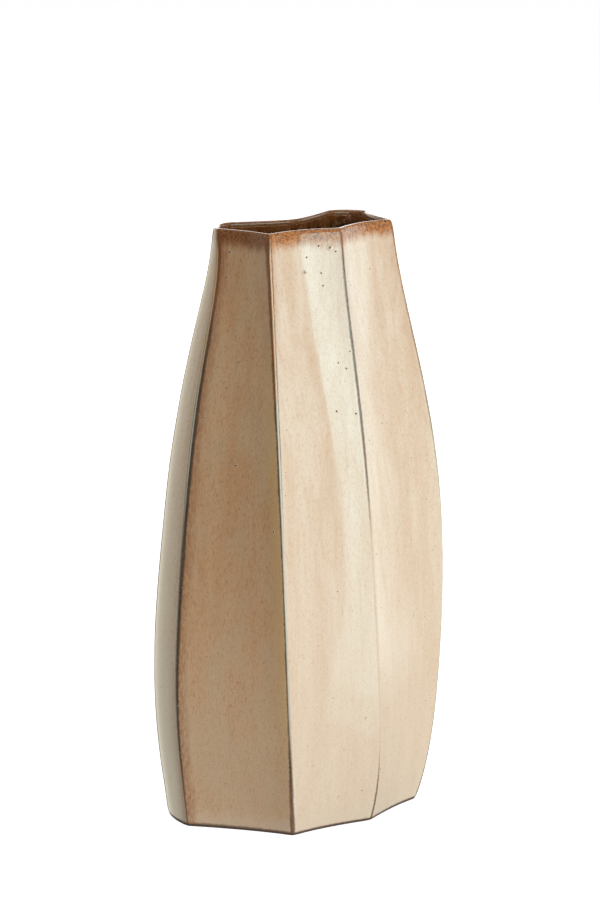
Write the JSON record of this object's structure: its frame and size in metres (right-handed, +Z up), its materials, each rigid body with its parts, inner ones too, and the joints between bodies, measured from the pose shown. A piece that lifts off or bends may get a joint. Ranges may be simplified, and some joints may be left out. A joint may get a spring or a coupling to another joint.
{
  "type": "pillow vase",
  "caption": "Tall flattened stoneware vase of leaning faceted clay panels with a folded mouth, creamy speckled glaze and dark bare ridges, for cut stems.",
  "frame": {"origin": "middle of the foot, on the surface that the vase stands on", "axes": "+Z up, +X along the broad front to the right, +Y from the front to the back"},
  "size_m": [0.1618, 0.1071, 0.3],
  "materials": {
    "clay": "bare fired stoneware, matt",
    "pale_glaze": "creamy beige glaze, glossy, streaked and speckled",
    "dark_glaze": "dark brown liner glaze, glossy and mottled"
  },
  "bodies": {
    "root": {"front_wall_left": "clay", "front_wall_right": "clay", "left_wall_front": "clay", "left_wall_back": "clay", "right_wall_front": "clay", "right_wall_back": "clay", "back_wall_left": "clay", "back_wall_right": "clay", "base_slab": "clay", "front_glaze_left": "pale_glaze", "front_glaze_right": "pale_glaze", "left_glaze_front": "pale_glaze", "left_glaze_back": "pale_glaze", "right_glaze_front": "pale_glaze", "right_glaze_back": "pale_glaze", "back_glaze_left": "pale_glaze", "back_glaze_right": "pale_glaze", "liner_glaze": "dark_glaze"}
  },
  "joints": []
}
